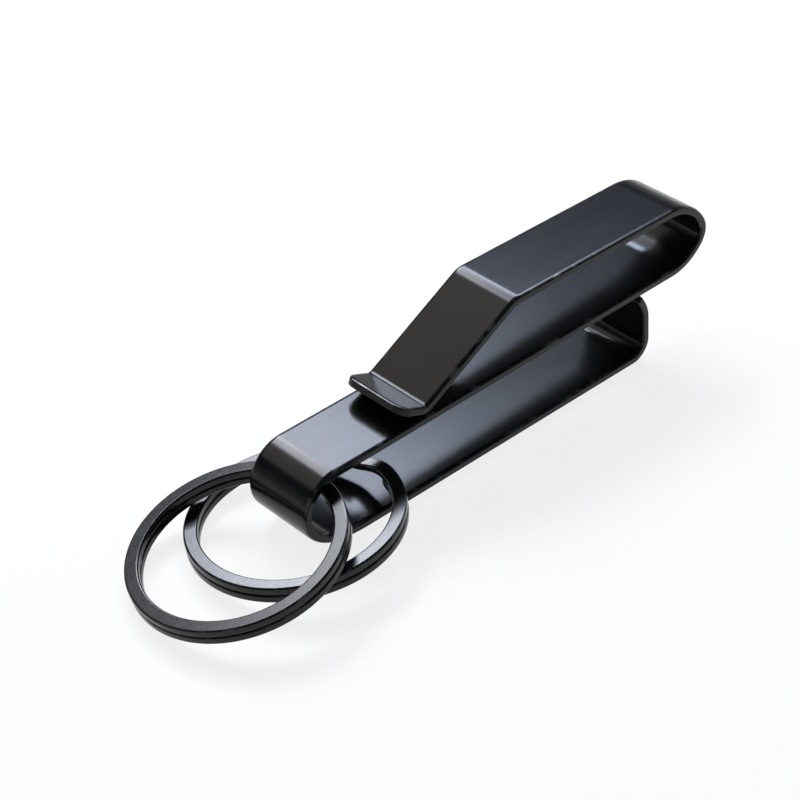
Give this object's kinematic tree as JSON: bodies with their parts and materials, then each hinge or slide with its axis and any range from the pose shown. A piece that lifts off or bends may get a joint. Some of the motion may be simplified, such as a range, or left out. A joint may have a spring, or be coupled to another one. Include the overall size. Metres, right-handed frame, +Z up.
{
  "type": "belt key clip",
  "caption": "Folded spring steel strip with a belt hook above, a sprung key loop below and split key rings hanging in the loop.",
  "frame": {"origin": "middle of the flat underside of the lower plate, on which the clip rests", "axes": "+X along the clip towards its belt bend, +Y across the strip, +Z up from the lower plate to the belt hook; the key rings lie at -X"},
  "size_m": [0.1095, 0.0328, 0.0256],
  "materials": {
    "strip_steel": "black coated spring steel, satin to semi-gloss",
    "ring_steel": "black coated steel wire, satin"
  },
  "bodies": {
    "lower_body": {"lower_plate": "strip_steel"},
    "middle_body": {"middle_plate": "strip_steel"},
    "arm_body": {"belt_arm": "strip_steel"},
    "front_ring_body": {"front_split_ring": "ring_steel"},
    "back_ring_body": {"back_split_ring": "ring_steel"}
  },
  "joints": [
    {"name": "key_gap_open", "type": "hinge", "parent": "lower_body", "child": "middle_body", "pos_m": [-0.04078, 0, 0.00736], "axis": [0, -1, 0], "range_deg": [0, 5], "stiffness_Nm_per_rad": 2, "springref_deg": -1.72},
    {"name": "belt_arm_lift", "type": "hinge", "parent": "middle_body", "child": "arm_body", "pos_m": [0.04434, 0, 0.01857], "axis": [0, 1, 0], "range_deg": [0, 8], "stiffness_Nm_per_rad": 1, "springref_deg": -2.86},
    {"name": "front_ring_swing", "type": "hinge", "parent": "lower_body", "child": "front_ring_body", "pos_m": [-0.0349, 0, 0.0076], "axis": [0, 1, 0], "range_deg": [0, 120]},
    {"name": "back_ring_slide", "type": "slide", "parent": "lower_body", "child": "back_ring_body", "axis": [1, 0, 0], "range_m": [0, 0.009]}
  ]
}
